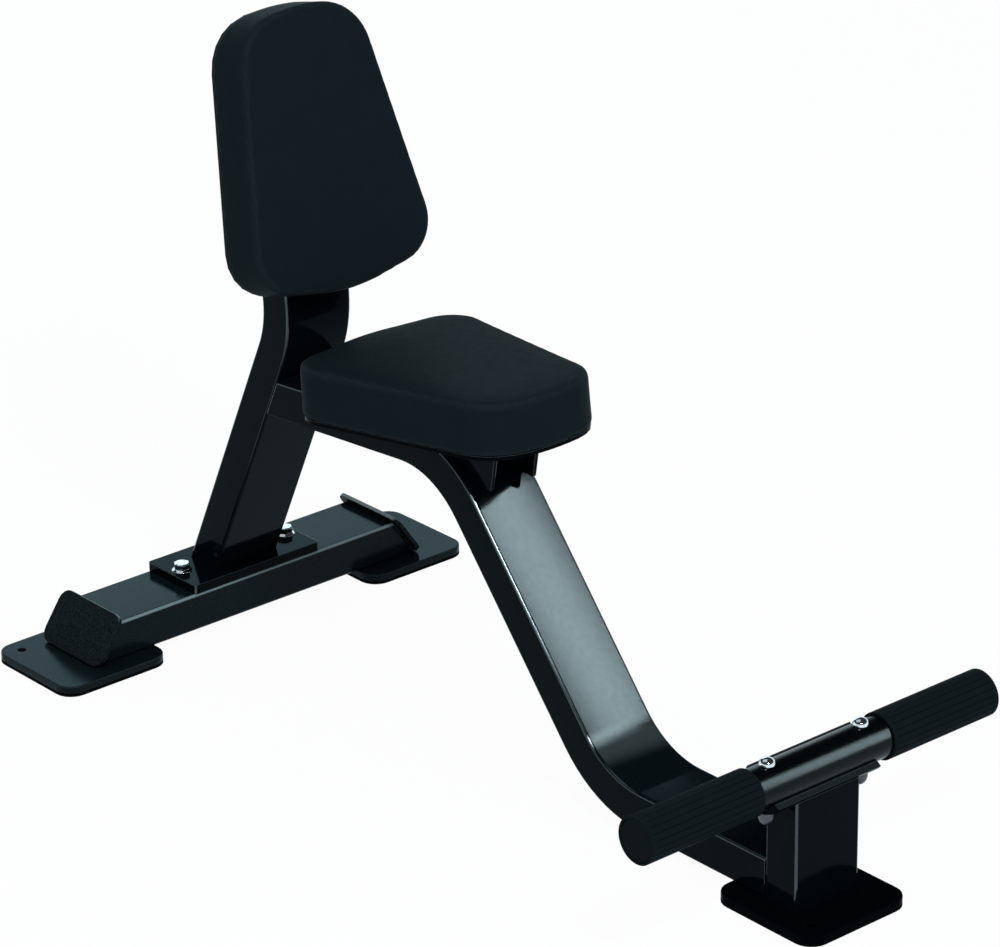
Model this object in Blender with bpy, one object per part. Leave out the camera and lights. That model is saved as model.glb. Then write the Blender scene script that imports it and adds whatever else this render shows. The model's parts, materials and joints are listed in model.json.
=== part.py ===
"""Utility bench: a bent box-tube frame with an upright back pad, a seat and a footrest bar.

Metres, +Z up. The sitter faces -Y and +X is to the right when looking along +Y.
The bench stands on the floor at z = 0 and is centred on x = 0 and y = 0.
"""

from math import asin, cos, pi, radians, sin, tan

import bmesh
import bpy
from mathutils import Matrix, Vector

for leftover in list(bpy.data.objects):
    bpy.data.objects.remove(leftover)

# The whole bench
LENGTH = 1.225
FRONT = -LENGTH / 2
REAR = LENGTH / 2
SEAM = 0.0003
ROUND_STEPS = 28
HOLE_STEPS = 20
SCREW_STEPS = 16

# Box tube, the same section in all four frame members
TUBE_HALF_WIDE = 0.050
TUBE_DEEP = 0.050
TUBE_WALL = 0.003
TUBE_CORNER = 0.004
BEND_RADIUS = 0.145
BEND_STEPS = 10

# Foot plates with a rubber pad under each
FOOT_SIDE = 0.160
FOOT_CORNER = 0.024
FOOT_STEEL = 0.010
FOOT_RUBBER = 0.003
FOOT_ARRIS = 0.0015
REAR_FOOT_X = 0.2455
ANCHOR_HOLE_RADIUS = 0.0058
ANCHOR_FROM_SIDE = 0.0258
FOOT_TOP = FOOT_RUBBER + SEAM + FOOT_STEEL
FRAME_BOTTOM = FOOT_TOP + SEAM

# Rear crossbar with its slanting end plates, which stand proud of the tube
CROSSBAR_Y = REAR - FOOT_SIDE / 2
CROSSBAR_TOP = FRAME_BOTTOM + TUBE_DEEP
END_LEAN = radians(35)
END_THICK = 0.005
END_CORNER = 0.016
END_OUT = 0.0195
END_MORE_TALL = 0.0105
END_MORE_WIDE = 0.025
END_OUTER_X = REAR_FOOT_X + END_OUT
END_OUTER_Z = FRAME_BOTTOM + END_THICK * sin(END_LEAN)
END_TALL = TUBE_DEEP / cos(END_LEAN) + END_MORE_TALL
END_WIDE = 2 * TUBE_HALF_WIDE + END_MORE_WIDE

# Plate under the upright and the bolts that hold it to the crossbar
BASE_BOLT_OUT = 0.0337
BASE_MARGIN = 0.0173
BASE_BOLT_X = TUBE_HALF_WIDE + BASE_BOLT_OUT
BASE_HALF_WIDE = BASE_BOLT_X + BASE_MARGIN
BASE_DEEP = 2 * TUBE_HALF_WIDE
BASE_THICK = 0.012
BASE_CORNER = 0.004
BASE_TOP = CROSSBAR_TOP + SEAM + BASE_THICK
BASE_BOLT_RADIUS = 0.006
BASE_FLANGE_RADIUS = 0.013
BASE_FLANGE_THICK = 0.0022
BASE_HEX_FLAT = 0.0093
BASE_HEAD_TALL = 0.0105
BASE_NUT_TALL = 0.0098
HEAD_CHAMFER = 0.0008
BOLT_ROOM = 0.0003

# Rear upright: leans forward, bends, then leans back behind the back pad
UPRIGHT_LEAN = radians(25)
BACK_LEAN = radians(16)
UPRIGHT_BEND_Z = 0.4583
BACK_ABOVE_BEND = 0.2114
TUBE_ABOVE_BACK = 0.0753
BACK_Z = UPRIGHT_BEND_Z + BACK_ABOVE_BEND
UPRIGHT_TOP_Z = BACK_Z + TUBE_ABOVE_BACK
CAP_THICK = 0.003
CAP_INSERT = 0.012

# Spine: runs back from the post, climbs, then carries the seat to the upright
SPINE_RISE = radians(50)
SEAT_FALL = radians(4.9)
SPINE_LOW_Z = FRAME_BOTTOM + TUBE_DEEP / 2
SPINE_HIGH_Z = 0.3797
SPINE_HIGH_AHEAD = 0.4749
SPINE_HIGH_Y = CROSSBAR_Y - SPINE_HIGH_AHEAD
SPINE_LOW_Y = SPINE_HIGH_Y - (SPINE_HIGH_Z - SPINE_LOW_Z) / tan(SPINE_RISE)

# Post, cradle and footrest bar
POST_Y = FRONT + FOOT_SIDE / 2
FOOTREST_Z = 0.1759
FOOTREST_RADIUS = 0.0254
FOOTREST_WALL = 0.003
FOOTREST_HALF = 0.2668
CRADLE_THICK = 0.0058
CRADLE_SHIFT = 0.0019
CRADLE_OUT = 0.030
CRADLE_HALF = TUBE_HALF_WIDE + CRADLE_OUT
CRADLE_TURN = radians(36)
CRADLE_STEPS = 20
COPE_STEPS = 96
BAR_STEPS = 48
DOME_STEPS = 6
CRADLE_INNER = FOOTREST_RADIUS + SEAM
CRADLE_OUTER = CRADLE_INNER + CRADLE_THICK
FOOTREST_BOLT_IN = 0.007
FOOTREST_BOLT_X = CRADLE_HALF - FOOTREST_BOLT_IN
FOOTREST_BOLT_RADIUS = 0.005
DOME_RADIUS = 0.0097
DOME_BAND = 0.0012
DOME_HEAD_TALL = 0.0082
DOME_NUT_TALL = 0.0172
DOME_NUT_BAND = 0.0045
DOME_NUT_BLIND = 0.0110

# Grips on the footrest bar
GRIP_AWAY = 0.0215
GRIP_LIP = 0.0032
GRIP_START = CRADLE_HALF + GRIP_AWAY
GRIP_END = FOOTREST_HALF + GRIP_LIP
GRIP_RADIUS = 0.0288
GRIP_COLLAR = 0.004
GRIP_FLUTES = 22
FLUTE_DEEP = 0.0009
FLUTE_HALF_ANGLE = radians(1.7)
GRIP_ROUND = 0.0008
GRIP_CAP_FACE = 0.0022
GRIP_CAP_STEM = 0.012

# Both pads: thickness stack and side shape
BOARD_THICK = 0.005
CUSHION_CROWN = 0.0035
CUSHION_ROUND = 0.0080
CUSHION_TUCK = 0.0040
CUSHION_TUCK_TALL = 0.0060
CUSHION_DOME = 0.0600
CUSHION_LEAST_CORNER = 0.0040
BOARD_INSET = 0.0015
PAD_BOW_RADIUS = 0.250
PAD_CORNER_STEPS = 5
PAD_SIDE_STEPS = 3
TUCK_STEPS = 3
ROUNDING_STEPS = 4
CROWN_STEPS = 4

# Seat pad, measured back from SEAT_Y along the top of the spine
SEAT_BEHIND_BEND = 0.0540
SEAT_Y = SPINE_HIGH_Y + SEAT_BEHIND_BEND
SEAT_FRONT = -0.2160
SEAT_REAR = 0.1405
SEAT_MIDDLE_HALF = 0.1182
SEAT_TAPER = 0.147
SEAT_FRONT_CORNER = 0.067
SEAT_REAR_CORNER = 0.047
SEAT_FRONT_BOW = 0.0128
SEAT_REAR_BOW = 0.0203
SEAT_CUSHION_DEEP = 0.0624
SEAT_PLATE_THICK = 0.0047
SEAT_PLATE_FRONT = -0.150
SEAT_PLATE_REAR = 0.090

# Back pad, measured up the front of the upright from BACK_Z
BACK_BOTTOM = -0.1846
BACK_TOP = 0.1732
BACK_MIDDLE_HALF = 0.1160
BACK_TAPER = 0.143
BACK_TOP_CORNER = 0.071
BACK_BOTTOM_CORNER = 0.055
BACK_TOP_BOW = 0.0135
BACK_BOTTOM_BOW = 0.0265
BACK_CUSHION_DEEP = 0.0604
BACK_PLATE_THICK = 0.0097
BACK_PLATE_BOTTOM = -0.110
BACK_PLATE_TOP = 0.070

# Mounting plates and the screws that hold the boards
PLATE_OUT = 0.028
PLATE_HALF_WIDE = TUBE_HALF_WIDE + PLATE_OUT
PLATE_CORNER = 0.012
SCREW_FROM_SIDE = 0.015
SCREW_X = PLATE_HALF_WIDE - SCREW_FROM_SIDE
SCREW_FROM_END = 0.025
SCREW_RADIUS = 0.004
SCREW_HEAD_RADIUS = 0.0065
SCREW_HEAD_TALL = 0.0045

# Gussets that carry the front of the seat plate
GUSSET_THICK = 0.005
GUSSET_IN = 0.0145
GUSSET_AHEAD = 0.0801
GUSSET_BELOW = 0.0267
GUSSET_OUTER_X = TUBE_HALF_WIDE - GUSSET_IN
GUSSET_FRONT_Y = SPINE_HIGH_Y - GUSSET_AHEAD
GUSSET_FRONT_Z = SPINE_HIGH_Z - GUSSET_BELOW
GUSSET_LEAN = 0.17
GUSSET_TAIL = 0.0015
GUSSET_STEPS = 12

X_AXIS = Vector((1, 0, 0))
Y_AXIS = Vector((0, 1, 0))
Z_AXIS = Vector((0, 0, 1))


# Materials

def material(name, colour, roughness, metallic=0.0):
    """Principled material of one plain colour."""
    made = bpy.data.materials.new(name)
    made.use_nodes = True
    shader = made.node_tree.nodes["Principled BSDF"]
    shader.inputs["Base Color"].default_value = (*colour, 1.0)
    shader.inputs["Roughness"].default_value = roughness
    shader.inputs["Metallic"].default_value = metallic
    made.diffuse_color = (*colour, 1.0)
    return made


FRAME_PAINT = material("frame_paint", (0.022, 0.028, 0.031), 0.30)
FOOT_PAINT = material("foot_paint", (0.040, 0.046, 0.050), 0.38)
PLATE_PAINT = material("plate_paint", (0.026, 0.032, 0.035), 0.45)
CHROME = material("chrome", (0.75, 0.76, 0.77), 0.12, 1.0)
SCREW_STEEL = material("screw_steel", (0.10, 0.10, 0.11), 0.35, 1.0)
GRIP_RUBBER = material("grip_rubber", (0.014, 0.018, 0.020), 0.65)
PAD_RUBBER = material("pad_rubber", (0.012, 0.014, 0.015), 0.75)
CAP_PLASTIC = material("cap_plastic", (0.014, 0.017, 0.019), 0.45)
BOARD_PLASTIC = material("board_plastic", (0.010, 0.012, 0.013), 0.20)
UPHOLSTERY = material("upholstery", (0.014, 0.020, 0.022), 0.48)


# Building blocks

def finish(name, shape, look, smooth_angle=None):
    """Turn a bmesh into a named object, with faces turned outward."""
    bmesh.ops.recalc_face_normals(shape, faces=shape.faces[:])
    mesh = bpy.data.meshes.new(name)
    shape.to_mesh(mesh)
    shape.free()
    if smooth_angle is not None:
        mesh.shade_smooth()
        mesh.set_sharp_from_angle(angle=smooth_angle)
    made = bpy.data.objects.new(name, mesh)
    made.data.materials.append(look)
    bpy.context.scene.collection.objects.link(made)
    return made


def skinned(rings, closed=False):
    """Bmesh with a skin of four-sided faces over rings that all have the same number of points."""
    shape = bmesh.new()
    loops = [[shape.verts.new(point) for point in ring] for ring in rings]
    pairs = list(zip(loops, loops[1:]))
    if closed:
        pairs.append((loops[-1], loops[0]))
    else:
        shape.faces.new(loops[0])
        shape.faces.new(loops[-1])
    for lower, upper in pairs:
        for here in range(len(lower)):
            after = (here + 1) % len(lower)
            shape.faces.new((lower[here], lower[after], upper[after], upper[here]))
    return shape


def slab(outline, low, high):
    """Bmesh of a flat outline extruded from height low to height high."""
    shape = bmesh.new()
    face = shape.faces.new([shape.verts.new((u, v, low)) for u, v in outline])
    raised = bmesh.ops.extrude_face_region(shape, geom=[face])
    tops = [item for item in raised["geom"] if isinstance(item, bmesh.types.BMVert)]
    bmesh.ops.translate(shape, verts=tops, vec=(0, 0, high - low))
    return shape


def turned(profile, steps=ROUND_STEPS):
    """Bmesh of a profile of (radius, height) corners spun about Z. It starts and ends on the axis."""
    shape = bmesh.new()
    corners = [shape.verts.new((radius, 0, height)) for radius, height in profile]
    edges = [shape.edges.new(pair) for pair in zip(corners, corners[1:])]
    bmesh.ops.spin(shape, geom=corners + edges, cent=(0, 0, 0), axis=(0, 0, 1), angle=2 * pi, steps=steps,
                   use_merge=True)
    bmesh.ops.remove_doubles(shape, verts=shape.verts[:], dist=1e-6)
    return shape


def rounded(corners, radii, inset=0.0, steps=6, along=1):
    """Closed outline through the corners, each rounded to its radius, drawn in by inset all round.

    The corners run anticlockwise. Every straight side is divided into the given number of steps.
    """
    count = len(corners)
    arcs = []
    for here in range(count):
        corner = Vector(corners[here])
        arriving = (corner - Vector(corners[here - 1])).normalized()
        leaving = (Vector(corners[(here + 1) % count]) - corner).normalized()
        in_arriving = Vector((-arriving.y, arriving.x))
        in_leaving = Vector((-leaving.y, leaving.x))
        corner = corner + (in_arriving + in_leaving) * inset / (1 + in_arriving.dot(in_leaving))
        radius = radii[here] - inset
        turn = arriving.angle(leaving)
        start = corner - arriving * radius * tan(turn / 2)
        centre = start + in_arriving * radius
        spoke = start - centre
        arcs.append([centre + Matrix.Rotation(turn * step / steps, 2) @ spoke for step in range(steps + 1)])
    outline = []
    for here in range(count):
        outline.extend(arcs[here])
        start = arcs[here][-1]
        finish_point = arcs[(here + 1) % count][0]
        for step in range(1, along):
            outline.append(start.lerp(finish_point, step / along))
    return [tuple(point) for point in outline]


def rectangle(half_wide, half_deep, corner, steps=3):
    """Rounded rectangle centred on the origin."""
    corners = [(-half_wide, -half_deep), (half_wide, -half_deep), (half_wide, half_deep), (-half_wide, half_deep)]
    return rounded(corners, [corner] * 4, steps=steps)


def frame_of(origin, across, along):
    """Placement whose local X, Y and Z run across, along and square to both."""
    normal = across.cross(along)
    turned_axes = Matrix((across, along, normal)).transposed()
    return Matrix.Translation(origin) @ turned_axes.to_4x4()


def bevelled(piece, width, segments=2):
    """Round off the sharp edges of a piece."""
    bevel = piece.modifiers.new("arris", "BEVEL")
    bevel.width = width
    bevel.segments = segments
    bevel.limit_method = "ANGLE"
    bevel.angle_limit = radians(50)
    return piece


def cutter(name, shape):
    """Hidden helper that Booleans cut with."""
    helper = finish(name, shape, FRAME_PAINT)
    helper.hide_render = True
    helper.display_type = "WIRE"
    return helper


def cut(piece, helper):
    """Subtract the helper from the piece."""
    boolean = piece.modifiers.new("cut", "BOOLEAN")
    boolean.operation = "DIFFERENCE"
    boolean.solver = "EXACT"
    boolean.object = helper
    return piece


def rod(radius, low, high, place, steps=HOLE_STEPS):
    """Bmesh of a plain round rod along local Z."""
    shape = turned([(0, low), (radius, low), (radius, high), (0, high)], steps)
    bmesh.ops.transform(shape, matrix=place, verts=shape.verts[:])
    return shape


def drill(piece, name, radius, low, high, place):
    """Drill a round hole along local Z of the placement."""
    return cut(piece, cutter(name, rod(radius, low, high, place)))


def placed(shape, place):
    """Move a bmesh to where it belongs."""
    bmesh.ops.transform(shape, matrix=place, verts=shape.verts[:])
    return shape


# Box tubes

def bent_line(nodes):
    """Centre line through the nodes, with an arc of the bend radius at each inner one.

    Gives (point, direction) pairs.
    """
    line = [(nodes[0], (nodes[1] - nodes[0]).normalized())]
    for before, node, after in zip(nodes, nodes[1:], nodes[2:]):
        arriving = (node - before).normalized()
        leaving = (after - node).normalized()
        turn = arriving.angle(leaving)
        hinge = arriving.cross(leaving).normalized()
        start = node - arriving * BEND_RADIUS * tan(turn / 2)
        centre = start + hinge.cross(arriving) * BEND_RADIUS
        for step in range(BEND_STEPS + 1):
            swing = Matrix.Rotation(turn * step / BEND_STEPS, 3, hinge)
            line.append((centre + swing @ (start - centre), swing @ arriving))
    line.append((nodes[-1], (nodes[-1] - nodes[-2]).normalized()))
    return line


def box_tube(nodes, wide, first_cut, last_cut):
    """Hollow box tube swept along the nodes.

    wide is the direction of the section's wide side. Each end is cut on a plane,
    given as (point on the plane, normal).
    """
    line = bent_line(nodes)
    outer = rectangle(TUBE_HALF_WIDE, TUBE_DEEP / 2, TUBE_CORNER)
    inner = rectangle(TUBE_HALF_WIDE - TUBE_WALL, TUBE_DEEP / 2 - TUBE_WALL, TUBE_CORNER - TUBE_WALL)
    rings = []
    for section, order in ((outer, line), (inner, line[::-1])):
        for point, direction in order:
            deep = wide.cross(direction)
            ring = [point + wide * u + deep * v for u, v in section]
            end_cut = first_cut if point is line[0][0] else last_cut if point is line[-1][0] else None
            if end_cut:
                on_plane, normal = end_cut
                ring = [at + direction * (on_plane - at).dot(normal) / direction.dot(normal) for at in ring]
            rings.append(ring)
    return skinned(rings, closed=True)


# Feet

def foot(name, centre_x, centre_y, hole_x, hole_y):
    """Square foot plate with rounded corners and one anchor hole, on a rubber pad of the same outline."""
    outline = rectangle(FOOT_SIDE / 2, FOOT_SIDE / 2, FOOT_CORNER, steps=6)
    place = Matrix.Translation((centre_x, centre_y, 0))
    hole_place = Matrix.Translation((centre_x + hole_x, centre_y + hole_y, 0))
    plate = finish(name + "_foot_plate", placed(slab(outline, FOOT_RUBBER + SEAM, FOOT_TOP), place), FOOT_PAINT)
    pad = finish(name + "_foot_pad", placed(slab(outline, 0, FOOT_RUBBER), place), PAD_RUBBER)
    bevelled(plate, FOOT_ARRIS)
    hole = cutter(name + "_anchor_drill", rod(ANCHOR_HOLE_RADIUS, -FOOT_TOP, 2 * FOOT_TOP, hole_place))
    cut(plate, hole)
    cut(pad, hole)


def feet():
    """One plate at the front and two at the rear."""
    from_centre = FOOT_SIDE / 2 - ANCHOR_FROM_SIDE
    foot("front", 0, FRONT + FOOT_SIDE / 2, -from_centre, -from_centre)
    foot("left", -REAR_FOOT_X, CROSSBAR_Y, -from_centre, from_centre)
    foot("right", REAR_FOOT_X, CROSSBAR_Y, from_centre, from_centre)


# Rear crossbar

def end_plate_frame(side):
    """Placement on the outer face of an end plate, at the middle of its bottom edge."""
    up = Vector((-side * sin(END_LEAN), 0, cos(END_LEAN)))
    return frame_of(Vector((side * END_OUTER_X, CROSSBAR_Y, END_OUTER_Z)), Y_AXIS * side, up)


def crossbar():
    """Crossbar cut on a slant at both ends, with a plate closing each end."""
    cuts = {}
    for side, name in ((-1, "left"), (1, "right")):
        place = end_plate_frame(side)
        half = END_WIDE / 2
        corners = [(-half, 0), (half, 0), (half, END_TALL), (-half, END_TALL)]
        plate = slab(rounded(corners, [END_CORNER] * 4, steps=4), -END_THICK, 0)
        finish(name + "_end_plate", placed(plate, place), PLATE_PAINT)
        outward = place.to_3x3() @ Z_AXIS
        cuts[side] = (place.translation - outward * (END_THICK + SEAM), outward)
    height = FRAME_BOTTOM + TUBE_DEEP / 2
    ends = [Vector((-END_OUTER_X, CROSSBAR_Y, height)), Vector((END_OUTER_X, CROSSBAR_Y, height))]
    bar = finish("rear_crossbar", box_tube(ends, Y_AXIS, cuts[-1], cuts[1]), FRAME_PAINT)
    for side, name in ((-1, "left"), (1, "right")):
        place = Matrix.Translation((side * BASE_BOLT_X, CROSSBAR_Y, 0))
        drill(bar, name + "_bar_drill", BASE_BOLT_RADIUS + BOLT_ROOM, 0, CROSSBAR_TOP + TUBE_DEEP, place)


# Upright

def hexagon(half_flat, height, points_per_side):
    """Ring of points round a hexagon, evenly spaced along its sides."""
    ring = []
    for side in range(6):
        start = Matrix.Rotation(radians(60 * side), 3, "Z") @ Vector((half_flat / cos(radians(30)), 0, height))
        end = Matrix.Rotation(radians(60 * side + 60), 3, "Z") @ Vector((half_flat / cos(radians(30)), 0, height))
        ring.extend(start.lerp(end, step / points_per_side) for step in range(points_per_side))
    return ring


def circle_ring(radius, height, points):
    """Ring of points round a circle."""
    return [Vector((radius * cos(2 * pi * step / points), radius * sin(2 * pi * step / points), height))
            for step in range(points)]


def base_bolt(name, side):
    """Flange-headed bolt down through the base plate and crossbar, and its nut underneath."""
    per_side = 4
    count = 6 * per_side
    seat = BASE_TOP + SEAM
    flange_top = seat + BASE_FLANGE_THICK
    head_top = seat + BASE_HEAD_TALL
    nut_top = FRAME_BOTTOM - SEAM
    nut_bottom = nut_top - BASE_NUT_TALL
    chamfer = HEAD_CHAMFER
    place = Matrix.Translation((side * BASE_BOLT_X, CROSSBAR_Y, 0))
    bolt = [circle_ring(BASE_BOLT_RADIUS - chamfer, nut_bottom - chamfer, count),
            circle_ring(BASE_BOLT_RADIUS, nut_bottom, count),
            circle_ring(BASE_BOLT_RADIUS, seat, count),
            circle_ring(BASE_FLANGE_RADIUS, seat, count),
            circle_ring(BASE_FLANGE_RADIUS, seat + chamfer, count),
            hexagon(BASE_HEX_FLAT + chamfer, flange_top, per_side),
            hexagon(BASE_HEX_FLAT, flange_top + chamfer, per_side),
            hexagon(BASE_HEX_FLAT, head_top - chamfer, per_side),
            circle_ring(BASE_HEX_FLAT - chamfer, head_top, count)]
    finish(name + "_base_bolt", placed(skinned(bolt), place), CHROME, radians(30))
    bore = BASE_BOLT_RADIUS + SEAM
    nut = [circle_ring(bore, nut_bottom, count),
           circle_ring(BASE_HEX_FLAT - chamfer, nut_bottom, count),
           hexagon(BASE_HEX_FLAT, nut_bottom + chamfer, per_side),
           hexagon(BASE_HEX_FLAT, nut_top, per_side),
           circle_ring(bore, nut_top, count)]
    finish(name + "_base_nut", placed(skinned(nut, closed=True), place), CHROME, radians(30))


def upright_nodes():
    """Centre line of the upright: its foot, its bend and its top."""
    foot_point = Vector((0, CROSSBAR_Y, BASE_TOP + SEAM))
    bend_rise = UPRIGHT_BEND_Z - foot_point.z
    bend = foot_point + Vector((0, -bend_rise * tan(UPRIGHT_LEAN), bend_rise))
    top_rise = UPRIGHT_TOP_Z - bend.z
    top = bend + Vector((0, top_rise * tan(BACK_LEAN), top_rise))
    return [foot_point, bend, top]


def upright():
    """Base plate with its bolts, the bent upright tube and the cap in its top end."""
    outline = rectangle(BASE_HALF_WIDE, BASE_DEEP / 2, BASE_CORNER)
    place = Matrix.Translation((0, CROSSBAR_Y, 0))
    plate = finish("upright_base_plate", placed(slab(outline, CROSSBAR_TOP + SEAM, BASE_TOP), place), FRAME_PAINT)
    for side, name in ((-1, "left"), (1, "right")):
        hole_place = Matrix.Translation((side * BASE_BOLT_X, CROSSBAR_Y, 0))
        drill(plate, name + "_plate_drill", BASE_BOLT_RADIUS + BOLT_ROOM, CROSSBAR_TOP / 2, BASE_TOP * 2, hole_place)
        base_bolt(name, side)
    nodes = upright_nodes()
    leaning = (nodes[2] - nodes[1]).normalized()
    tube = box_tube(nodes, X_AXIS, (nodes[0], Z_AXIS), (nodes[2], leaning))
    finish("rear_upright", tube, FRAME_PAINT, radians(30))
    outer = rectangle(TUBE_HALF_WIDE, TUBE_DEEP / 2, TUBE_CORNER)
    clear = TUBE_WALL + SEAM
    inner = rectangle(TUBE_HALF_WIDE - clear, TUBE_DEEP / 2 - clear, TUBE_CORNER - TUBE_WALL)
    levels = [(inner, -CAP_INSERT), (inner, SEAM), (outer, SEAM), (outer, SEAM + CAP_THICK)]
    cap = skinned([[Vector((u, v, height)) for u, v in section] for section, height in levels])
    cap_place = frame_of(nodes[2], X_AXIS, leaning.cross(X_AXIS))
    finish("upright_top_cap", placed(cap, cap_place), CAP_PLASTIC)


# Spine and post

def upright_front():
    """Plane just in front of the upright's lower leg, as (point, normal)."""
    foot_point, bend, top = upright_nodes()
    leaning = (bend - foot_point).normalized()
    forward = X_AXIS.cross(leaning)
    return (foot_point + forward * (TUBE_DEEP / 2 + SEAM), forward)


def spine_nodes():
    """Centre line of the spine: post, low bend, high bend and where it meets the upright."""
    start = Vector((0, POST_Y + TUBE_DEEP / 2 + SEAM, SPINE_LOW_Z))
    low = Vector((0, SPINE_LOW_Y, SPINE_LOW_Z))
    high = Vector((0, SPINE_HIGH_Y, SPINE_HIGH_Z))
    rearward = Vector((0, cos(SEAT_FALL), -sin(SEAT_FALL)))
    on_plane, normal = upright_front()
    end = high + rearward * (on_plane - high).dot(normal) / rearward.dot(normal)
    return [start, low, high, end]


def spine():
    """Spine tube from the post's back to the upright's front face, cut to fit each."""
    nodes = spine_nodes()
    tube = box_tube(nodes, X_AXIS, (nodes[0], Y_AXIS), upright_front())
    finish("spine", tube, FRAME_PAINT, radians(30))


def cradle_middle():
    """Centre of the cradle's outer face, set off toward its front lip so that lip is the thicker one."""
    return Vector((0, POST_Y, FOOTREST_Z)) - Vector((0, cos(CRADLE_TURN), sin(CRADLE_TURN))) * CRADLE_SHIFT


def post():
    """Front post, its top coped to the underside of the cradle."""
    foot_point = Vector((0, POST_Y, FRAME_BOTTOM))
    top = Vector((0, POST_Y, FOOTREST_Z))
    tube = finish("front_post", box_tube([foot_point, top], X_AXIS, (foot_point, Z_AXIS), (top, Z_AXIS)), FRAME_PAINT)
    place = frame_of(cradle_middle(), Y_AXIS, Z_AXIS)
    cope = cutter("post_cope", rod(CRADLE_OUTER + SEAM, -CRADLE_HALF, CRADLE_HALF, place, COPE_STEPS))
    cut(tube, cope)


# Footrest

def cradle():
    """Half pipe under the footrest bar, turned so its rear lip stands above the front one."""
    rings = []
    half = X_AXIS * CRADLE_HALF
    for step in range(CRADLE_STEPS + 1):
        angle = pi + CRADLE_TURN + pi * step / CRADLE_STEPS
        out = Vector((0, cos(angle), sin(angle)))
        inner = Vector((0, POST_Y, FOOTREST_Z)) + out * CRADLE_INNER
        outer = cradle_middle() + out * CRADLE_OUTER
        rings.append([inner - half, outer - half, outer + half, inner + half])
    piece = finish("cradle", skinned(rings), FRAME_PAINT, radians(30))
    for side, name in ((-1, "left"), (1, "right")):
        place = Matrix.Translation((side * FOOTREST_BOLT_X, POST_Y, 0))
        drill(piece, name + "_cradle_drill", FOOTREST_BOLT_RADIUS + BOLT_ROOM, FOOTREST_Z - 2 * CRADLE_OUTER,
              FOOTREST_Z, place)


def along_x(shape, side):
    """Lay a shape built along local Z along X instead, toward the given side."""
    return placed(shape, frame_of(Vector((0, POST_Y, FOOTREST_Z)), Y_AXIS * side, Z_AXIS))


def footrest_bar():
    """Round bar, drilled for the two bolts that pin it to the cradle."""
    half = FOOTREST_HALF
    inner = FOOTREST_RADIUS - FOOTREST_WALL
    rings = [circle_ring(FOOTREST_RADIUS, -half, BAR_STEPS), circle_ring(FOOTREST_RADIUS, half, BAR_STEPS),
             circle_ring(inner, half, BAR_STEPS), circle_ring(inner, -half, BAR_STEPS)]
    bar = finish("footrest_bar", along_x(skinned(rings, closed=True), 1), FRAME_PAINT, radians(30))
    for side, name in ((-1, "left"), (1, "right")):
        place = Matrix.Translation((side * FOOTREST_BOLT_X, POST_Y, FOOTREST_Z))
        drill(bar, name + "_rest_drill", FOOTREST_BOLT_RADIUS + BOLT_ROOM, -2 * FOOTREST_RADIUS,
              2 * FOOTREST_RADIUS, place)


def dome(radius, base, band, tall):
    """Profile of a domed end above a straight band, from its rim up to the axis."""
    swings = [pi / 2 * step / DOME_STEPS for step in range(DOME_STEPS + 1)]
    return [(radius * cos(swing), base + band + (tall - band) * sin(swing)) for swing in swings]


def footrest_bolt(name, side):
    """Dome-headed bolt through the bar and cradle, with a domed nut beneath."""
    place = Matrix.Translation((side * FOOTREST_BOLT_X, POST_Y, 0))
    seat = FOOTREST_Z + FOOTREST_RADIUS + SEAM
    nut_top = cradle_middle().z - CRADLE_OUTER - SEAM
    tip = nut_top - DOME_NUT_BLIND + SEAM
    bolt = [(0, tip), (FOOTREST_BOLT_RADIUS, tip), (FOOTREST_BOLT_RADIUS, seat), (DOME_RADIUS, seat)]
    bolt += dome(DOME_RADIUS, seat, DOME_BAND, DOME_HEAD_TALL)
    finish(name + "_footrest_bolt", placed(turned(bolt), place), CHROME, radians(40))
    bore = FOOTREST_BOLT_RADIUS + SEAM
    nut = [(0, DOME_NUT_BLIND), (bore, DOME_NUT_BLIND), (bore, 0), (DOME_RADIUS, 0)]
    nut += dome(DOME_RADIUS, 0, DOME_NUT_BAND, DOME_NUT_TALL)
    nut_place = Matrix.Translation((side * FOOTREST_BOLT_X, POST_Y, nut_top)) @ Matrix.Rotation(pi, 4, "X")
    finish(name + "_dome_nut", placed(turned(nut), nut_place), CHROME, radians(40))


def fluted_ring(height, deep):
    """Ring round a grip, with a narrow groove of the given depth between its flat lands."""
    ring = []
    pitch = 2 * pi / GRIP_FLUTES
    for flute in range(GRIP_FLUTES):
        middle = flute * pitch
        corners = [(middle - FLUTE_HALF_ANGLE, GRIP_RADIUS), (middle, GRIP_RADIUS - deep),
                   (middle + FLUTE_HALF_ANGLE, GRIP_RADIUS), (middle + pitch / 2, GRIP_RADIUS)]
        ring.extend(Vector((radius * cos(angle), radius * sin(angle), height)) for angle, radius in corners)
    return ring


def scaled_ring(ring, radius, height):
    """The same ring of points pulled in or out to a plain circle."""
    return [Vector((at.x, at.y, 0)).normalized() * radius + Vector((0, 0, height)) for at in ring]


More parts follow.
